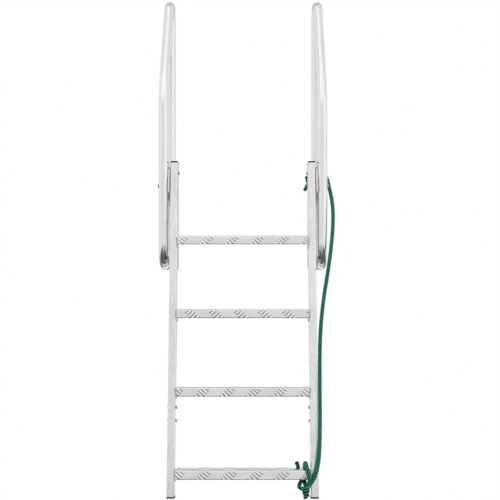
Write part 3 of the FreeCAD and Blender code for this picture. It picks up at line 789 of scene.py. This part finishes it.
def lug_tree(material):
    """Nodes that lay groups of lugs, slanting one way and then the other, over a flat sheet."""
    wanted = (
        ("Lug Spacing", "NodeSocketFloat", LUG_SPACING),
        ("Group Pitch", "NodeSocketFloat", PATTERNS[0][0]),
        ("Lugs", "NodeSocketInt", LUGS_IN_GROUP),
        ("Columns", "NodeSocketInt", GROUP_COLUMNS),
        ("Rows", "NodeSocketInt", GROUP_ROWS),
    )
    tree, inputs = new_tree("chequer_lugs", wanted)
    join = tree.nodes.new("GeometryNodeJoinGeometry")
    for lean_way, row_shift in ((1, 0.0), (-1, 0.5)):
        tree.links.new(lug_family(tree, inputs, lean_way, row_shift), join.inputs[0])
    finish_tree(tree, join.outputs[0], material)
    return tree


def round_the_tread(along, height):
    """Carries a spot on the flat sheet, from the front lip's edge, round the two bends."""
    half, bend_radius = TREAD_HALF_DEPTH, TREAD_BEND
    lip = TREAD_LIP - bend_radius
    bend = bend_radius * math.pi / 2
    flat = 2 * (half - bend_radius)
    if height > 0:
        height *= 1 - TOP_WEAR * min(1, max(0, (along - lip) / bend))
    reach = bend_radius + height
    if along <= lip:
        return -half - height, along - TREAD_LIP
    if along <= lip + bend:
        turn = (along - lip) / bend_radius
        return -half + bend_radius - reach * math.cos(turn), -bend_radius + reach * math.sin(turn)
    if along <= lip + bend + flat:
        return -half + bend_radius + along - lip - bend, height
    if along <= lip + 2 * bend + flat:
        turn = (along - lip - bend - flat) / bend_radius
        return half - bend_radius + reach * math.sin(turn), -bend_radius + reach * math.cos(turn)
    return half + height, -bend_radius - (along - lip - 2 * bend - flat)


def trim(bm, place, outward):
    """Cuts a mesh off at a plane and closes it there."""
    everything = bm.verts[:] + bm.edges[:] + bm.faces[:]
    plane = {"plane_co": place, "plane_no": outward}
    cut = bmesh.ops.bisect_plane(bm, geom=everything, clear_outer=True, **plane)
    edges = [e for e in cut["geom_cut"] if isinstance(e, bmesh.types.BMEdge)]
    bmesh.ops.holes_fill(bm, edges=edges, sides=0)


def trimmed_lugs(flat, start, mirrored):
    """The lugs of a flat sheet moved to where its pattern starts, and cut off at its sides."""
    bm = bmesh.new()
    bm.from_mesh(flat)
    bpy.data.meshes.remove(flat)
    crown = bm.verts.layers.float.new(CROWN)
    for vert in bm.verts:
        vert[crown] = min(1, max(0, vert.co.z * LUG_CROWN))
        vert.co.x += start
        vert.co.y += FIRST_ROW
    if mirrored:
        bmesh.ops.scale(bm, verts=bm.verts, vec=(-1, 1, 1))
    for place, outward in SHEET_SIDES:
        trim(bm, place, outward)
    return bm


def bend_lugs(bm, drop):
    """Carries the lugs from the flat sheet round the tread, where the tread rests."""
    for vert in bm.verts:
        y, z = round_the_tread(vert.co.y, vert.co.z)
        vert.co = leaned((vert.co.x, y, z - drop))
    for face in bm.faces:
        face.smooth = len(face.verts) < 5


def add_lip_edge(bm, drop):
    """A thin rod along the bottom of the front lip, with a crown that gives it painted shade."""
    y, z = EDGE_INSET - TREAD_HALF_DEPTH, EDGE_INSET - TREAD_LIP - drop
    line = even_steps([leaned((x, y, z)) for x in (-SHEET_END, SHEET_END)], EDGE_STEP)
    first = len(bm.verts)
    add_rod(bm, line, [EDGE_RADIUS] * len(line), EDGE_SIDES)
    bm.verts.ensure_lookup_table()
    crown = bm.verts.layers.float[CROWN]
    for vert in bm.verts[first:]:
        vert[crown] = EDGE_SHADE_CROWN


def make_lugs(material):
    """The chequer pattern of each tread, bent round it, with the rolled edge of its front lip."""
    tree = lug_tree(material)
    lug = lug_mesh()
    for number, (drop, pattern) in enumerate(zip(TREAD_DROPS, PATTERNS), 1):
        pitch, start, mirrored = pattern
        bm = trimmed_lugs(arrayed(lug, tree, {"Group Pitch": pitch}), start, mirrored)
        bend_lugs(bm, drop)
        add_lip_edge(bm, drop)
        piece = mesh_piece(f"tread_{number}_lugs", bm, material)
        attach(piece, "ladder")
    bpy.data.meshes.remove(lug)


# Welds

BEAD_RIPPLE = 0.0026
BEAD_STEPS = 4
BEAD_WAIST = 0.86
BEAD_SIDES = 8
RING_BEAD = 0.0022
RING_POINTS = 48
RING_LIFT = 0.0005
BEAD_LIFT = 0.0002
HOOP_FOOT_DROP = 0.2675

# Along the ear, then the stop arm: how far both beads lie from the middle, the heights from
# the deck where they start and end, and their radius.
BRACKET_BEADS = (
    ((0.253, 0.257), (-0.092, -0.020), 0.0018),
    ((0.239, 0.245), (-0.275, -0.228), 0.0016),
)

# Along an end plate's edges: the radius, how far below the tread's top each bead starts and
# ends, and how far it lies off the rail.
PLATE_BEAD = 0.0015
PLATE_BEAD_SPAN = (0.007, 0.031)
PLATE_BEAD_LIFT = 0.0004


def add_bead(bm, line, radius, closed=False):
    """A rippled weld bead along a line."""
    line = even_steps(line, BEAD_RIPPLE / BEAD_STEPS)
    if closed:
        line = line[:-1] + [line[0]]
    ripples = [abs(math.sin(math.pi * i / BEAD_STEPS)) for i in range(len(line))]
    radii = [radius * (BEAD_WAIST + (1 - BEAD_WAIST) * ripple) for ripple in ripples]
    add_rod(bm, line, radii, BEAD_SIDES, closed)


def add_ring_bead(bm, centre, across):
    """A bead round a hoop's leg, in the plane of X and the direction across."""
    ring = circle(centre, Vector((1, 0, 0)), Vector(across), HOOP_RADIUS, RING_POINTS)
    add_bead(bm, ring + ring[:1], RING_BEAD, True)


def make_welds(material):
    """Beads where the hoops, ears and stops join the brackets, and the end plates the rails."""
    bm = bmesh.new()
    for side in (-1, 1):
        hoop_x = MIDDLE + side * HOOP_OUT
        ring_y, ring_z = -BAR_THICKNESS - RING_LIFT, DECK + BAR_THICKNESS + RING_LIFT
        add_ring_bead(bm, Vector((hoop_x, ring_y, DECK - HOOP_FOOT_DROP)), (0, 0, 1))
        add_ring_bead(bm, Vector((hoop_x, FAR_LEG, ring_z)), (0, 1, 0))
        for places, span, radius in BRACKET_BEADS:
            for x in places:
                y = -BAR_THICKNESS - BEAD_LIFT
                add_bead(bm, [Vector((MIDDLE + side * x, y, DECK + z)) for z in span], radius)
    piece = mesh_piece("bracket_welds", bm, material)
    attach(piece, "dock_mount")

    bm = bmesh.new()
    for side in (-1, 1):
        x = side * (RAIL_INSIDE - PLATE_BEAD_LIFT)
        for drop in TREAD_DROPS:
            for y in (-END_HALF_DEPTH, END_HALF_DEPTH):
                add_bead(bm, [leaned((x, y, -drop - z)) for z in PLATE_BEAD_SPAN], PLATE_BEAD)
    piece = mesh_piece("tread_end_welds", bm, material)
    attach(piece, "ladder")


# Rivets

RIVET_RADIUS = 0.0042
RIVET_HEIGHT = 0.0017
RIVET_ROWS = 0.044
RIVETS_ACROSS = 0.431
RIVET_SIDES = 16

# Shares of the radius and the height, from the sunk base over the dome into the dimple.
RIVET_PROFILE = (
    (1.0, -0.3), (1.0, 0.05), (0.93, 0.35), (0.78, 0.66), (0.58, 0.88), (0.38, 0.97),
    (0.31, 0.96), (0.26, 0.55),
)
RIVET_DIMPLE = 0.45


def rivet_mesh():
    """A low domed head with the small dimple of a blind rivet, standing on a sunk base."""
    x, y = Vector((1, 0, 0)), Vector((0, 1, 0))
    bm = bmesh.new()
    rings = []
    for share, height in RIVET_PROFILE:
        centre = Vector((0, 0, RIVET_HEIGHT * height))
        ring = circle(centre, x, y, RIVET_RADIUS * share, RIVET_SIDES)
        rings.append([bm.verts.new(co) for co in ring])
    for low, high in zip(rings, rings[1:]):
        bridge(bm, low, high)
    middle = bm.verts.new((0, 0, RIVET_HEIGHT * RIVET_DIMPLE))
    for i in range(RIVET_SIDES):
        bm.faces.new((rings[-1][i], rings[-1][(i + 1) % RIVET_SIDES], middle)).smooth = True
    bm.faces.new(rings[0])
    return finished_mesh("rivet", bm)


def rivet_tree(material):
    """Nodes that set a rivet at each corner of a rectangle, at both ends of a tread."""
    wanted = (("Across", "NodeSocketFloat", RIVETS_ACROSS), ("Deep", "NodeSocketFloat", RIVET_ROWS))
    tree, inputs = new_tree("tread_rivets", wanted)
    links = {"Size X": inputs["Across"], "Size Y": inputs["Deep"], "Vertices X": 2, "Vertices Y": 2}
    corners = add_node(tree, "GeometryNodeMeshGrid", links)
    finish_tree(tree, copies(tree, corners.outputs["Mesh"], inputs["Geometry"]), material)
    return tree


def make_rivets(material):
    """Four rivets in each tread, all in one piece."""
    rivet = rivet_mesh()
    flat = arrayed(rivet, rivet_tree(material), {})
    bm = bmesh.new()
    for drop in TREAD_DROPS:
        first = len(bm.verts)
        bm.from_mesh(flat)
        bm.verts.ensure_lookup_table()
        for vert in bm.verts[first:]:
            vert.co = leaned((vert.co.x, vert.co.y, vert.co.z - drop))
    bpy.data.meshes.remove(flat)
    bpy.data.meshes.remove(rivet)
    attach(mesh_piece("tread_rivets", bm, material), "ladder")


# Floor, light and background

FLOOR_HEIGHT = -1.2
FLOOR_REACH = 9.0
FLOOR_TONE = (0.82, 0.82, 0.82, 1)

# Where the floor fades into white, and the radii between which it does.
FADE_CENTRE = (MIDDLE, 0.1, 0)
FADE = (0.45, 0.95)

# Painted reflection: how bright the floor glows to glossy rays, as ground, by metres along Y.
GROUND = (
    (-6.5, 1.0), (-3.4, 0.66), (-2.2, 0.36), (-1.2, 0.18), (-0.4, 0.13), (0.20, 0.13),
    (0.32, 0.75), (0.56, 0.75), (0.68, 0.30), (0.84, 0.30), (0.96, 0.9), (2.0, 1.0),
)

# Out to the side, by shares of the way between these two distances from the middle: what
# the levels above are multiplied by, and how bright the ground is at least.
ASIDE = (0.8, 5.8)
GROUND_ASIDE = ((0.0, 1.0), (0.06, 0.3), (0.7, 0.3), (0.9, 1.0), (1.0, 1.0))
GROUND_BEYOND = ((0.0, 0.0), (0.12, 0.08), (0.26, 0.35), (0.46, 0.7), (1.0, 0.85))

# How bright it is round the object in gloss, level and steeply above, by turns from
# straight behind it: 0.25 is on the left, 0.5 towards the camera and 0.75 on the right.
SURROUNDINGS = (
    (0.0, 0.52), (0.05, 0.52), (0.10, 0.98), (0.145, 0.98), (0.239, 0.86), (0.316, 0.94),
    (0.383, 0.85), (0.441, 0.79), (0.5, 0.84), (0.559, 0.88), (0.617, 0.98), (0.684, 1.08),
    (0.761, 0.87), (0.855, 0.88), (0.90, 0.98), (0.95, 0.52), (1.0, 0.52),
)
OVERHEAD = (
    (0.0, 0.60), (0.12, 0.65), (0.17, 0.86), (0.22, 0.83), (0.27, 0.84), (0.32, 1.02),
    (0.40, 1.16), (0.46, 1.1), (0.5, 1.03), (0.6, 1.1), (0.66, 0.97), (0.72, 0.84),
    (0.80, 0.8), (0.84, 0.86), (0.90, 0.65), (1.0, 0.60),
)
COOLNESS = 1.008

# Slopes of a direction: where it turns from level to steep, and where the glow straight
# behind the object starts and is full, by how far back and by how low.
STEEP = (0.35, 0.6)
GLOW_BACK = (0.8, 0.95)
GLOW_LOW = (0.12, 0.04)
HORIZON = 0.74
FILL = 0.55

# Name, place, size and power of each softbox, and what they aim at.
SOFTBOXES = (
    ("key_softbox", (-2.4, -2.6, 2.4), (1.8, 1.8), 60),
    ("fill_softbox", (3.0, -2.2, 1.2), (1.6, 2.0), 32),
    ("back_softbox", (0.6, 2.6, 2.6), (2.2, 1.4), 40),
)
AIM = Vector((MIDDLE, -0.1, 0.1))


def level_bands(tree, source, bands):
    """Turns a value from 0 to 1 into greys, given as places and levels."""
    node = add_node(tree, "ShaderNodeValToRGB", {"Fac": source})
    elements = node.color_ramp.elements
    for position, _ in bands[1:-1]:
        elements.new(position)
    for element, (position, level) in zip(elements, bands):
        element.position = position
        element.color = (level, level, level * COOLNESS, 1)
    return node.outputs["Color"]


def shining(tree, kind, strength, colour=(1, 1, 1, 1)):
    """An Emission or a Background shader, white unless it has a colour."""
    return add_node(tree, kind, {"Color": colour, "Strength": strength}).outputs[0]


def mixed(tree, share, first, second):
    """Two shaders mixed, with this share of the second."""
    return add_node(tree, "ShaderNodeMixShader", {0: share, 1: first, 2: second}).outputs[0]


def floor_material():
    """Pale with a white rim to the camera, and painted reflections: bands of light and dark ground that glow
    only to glossy rays.
    """
    material = bpy.data.materials.new("pale_floor")
    material.use_nodes = True
    tree = material.node_tree
    tree.nodes.clear()
    place = add_node(tree, "ShaderNodeTexCoord").outputs["Object"]
    rays = add_node(tree, "ShaderNodeLightPath").outputs

    links = {0: place, 1: FADE_CENTRE}
    distance = add_node(tree, "ShaderNodeVectorMath", links, operation="DISTANCE")
    fade = between(tree, distance.outputs["Value"], *FADE, interpolation_type="SMOOTHSTEP")
    pale = add_node(tree, "ShaderNodeBsdfDiffuse", {"Color": FLOOR_TONE}).outputs[0]
    white = shining(tree, "ShaderNodeEmission", 1.0)
    seen = mixed(tree, node_math(tree, "MULTIPLY", fade, rays["Is Camera Ray"]), pale, white)

    spot = add_node(tree, "ShaderNodeSeparateXYZ", {0: place}).outputs
    first, last = GROUND[0][0], GROUND[-1][0]
    bands = [((y - first) / (last - first), level) for y, level in GROUND]
    under = level_bands(tree, between(tree, spot["Y"], first, last), bands)
    sideways = node_math(tree, "ABSOLUTE", node_math(tree, "SUBTRACT", spot["X"], MIDDLE))
    out = between(tree, sideways, *ASIDE)
    near = node_math(tree, "MULTIPLY", under, level_bands(tree, out, GROUND_ASIDE))
    level = node_math(tree, "MAXIMUM", near, level_bands(tree, out, GROUND_BEYOND))
    # The floor glows to glossy rays with these levels: a painted reflection.
    ground = shining(tree, "ShaderNodeEmission", level)

    shown = mixed(tree, rays["Is Glossy Ray"], seen, ground)
    add_node(tree, "ShaderNodeOutputMaterial", {"Surface": shown})
    return material


def make_floor():
    """A floor below the feet of the ladder, as wide as the reflections reach."""
    left, right = MIDDLE - FLOOR_REACH, MIDDLE + FLOOR_REACH
    near, far = -FLOOR_REACH, FLOOR_REACH
    corners = ((left, near), (right, near), (right, far), (left, far))
    data = bpy.data.meshes.new("floor")
    data.from_pydata([(x, y, FLOOR_HEIGHT) for x, y in corners], [], [(0, 1, 2, 3)])
    data.materials.append(floor_material())
    link(bpy.data.objects.new("floor", data))


def make_world():
    """White to the camera, bands of light and grey round the object in gloss, a soft fill."""
    world = bpy.data.worlds.new("studio")
    bpy.context.scene.world = world
    world.use_nodes = True
    tree = world.node_tree
    tree.nodes.clear()
    place = add_node(tree, "ShaderNodeTexCoord").outputs["Generated"]
    way = add_node(tree, "ShaderNodeSeparateXYZ", {0: place}).outputs
    rays = add_node(tree, "ShaderNodeLightPath").outputs

    angle = node_math(tree, "ARCTAN2", way["X"], node_math(tree, "MULTIPLY", way["Y"], -1.0))
    turn = node_math(tree, "ADD", node_math(tree, "DIVIDE", angle, 2 * math.pi), 0.5)
    back, low = between(tree, way["Y"], *GLOW_BACK), between(tree, way["Z"], *GLOW_LOW)
    glow = node_math(tree, "MULTIPLY", node_math(tree, "MULTIPLY", back, low), HORIZON)
    strength = node_math(tree, "MAXIMUM", level_bands(tree, turn, SURROUNDINGS), glow)
    around = shining(tree, "ShaderNodeBackground", strength)
    above = shining(tree, "ShaderNodeBackground", 1.0, level_bands(tree, turn, OVERHEAD))
    steep = between(tree, node_math(tree, "ABSOLUTE", way["Z"]), *STEEP)
    gloss = mixed(tree, steep, around, above)

    lit = mixed(tree, rays["Is Glossy Ray"], shining(tree, "ShaderNodeBackground", FILL), gloss)
    seen = node_math(tree, "MAXIMUM", rays["Is Camera Ray"], rays["Is Transmission Ray"])
    shown = mixed(tree, seen, lit, shining(tree, "ShaderNodeBackground", 1.0))
    add_node(tree, "ShaderNodeOutputWorld", {"Surface": shown})


def make_lights():
    """Softboxes aimed at the ladder, left out of its reflections."""
    for name, place, size, power in SOFTBOXES:
        data = bpy.data.lights.new(name, "AREA")
        data.shape = "RECTANGLE"
        data.size, data.size_y = size
        data.energy = power
        lamp = link(bpy.data.objects.new(name, data))
        lamp.location = place
        lamp.visible_glossy = False
        lamp.rotation_euler = (AIM - Vector(place)).to_track_quat("-Z", "Y").to_euler()


place_camera()
materials = make_materials()
make_ropes(materials["rope_green"])
dress_nodes(materials)
make_lugs(materials["lug_metal"])
make_welds(materials["weld_metal"])
make_rivets(materials["bolt_steel"])
make_floor()
make_world()
make_lights()
bpy.context.scene.view_settings.view_transform = "Standard"
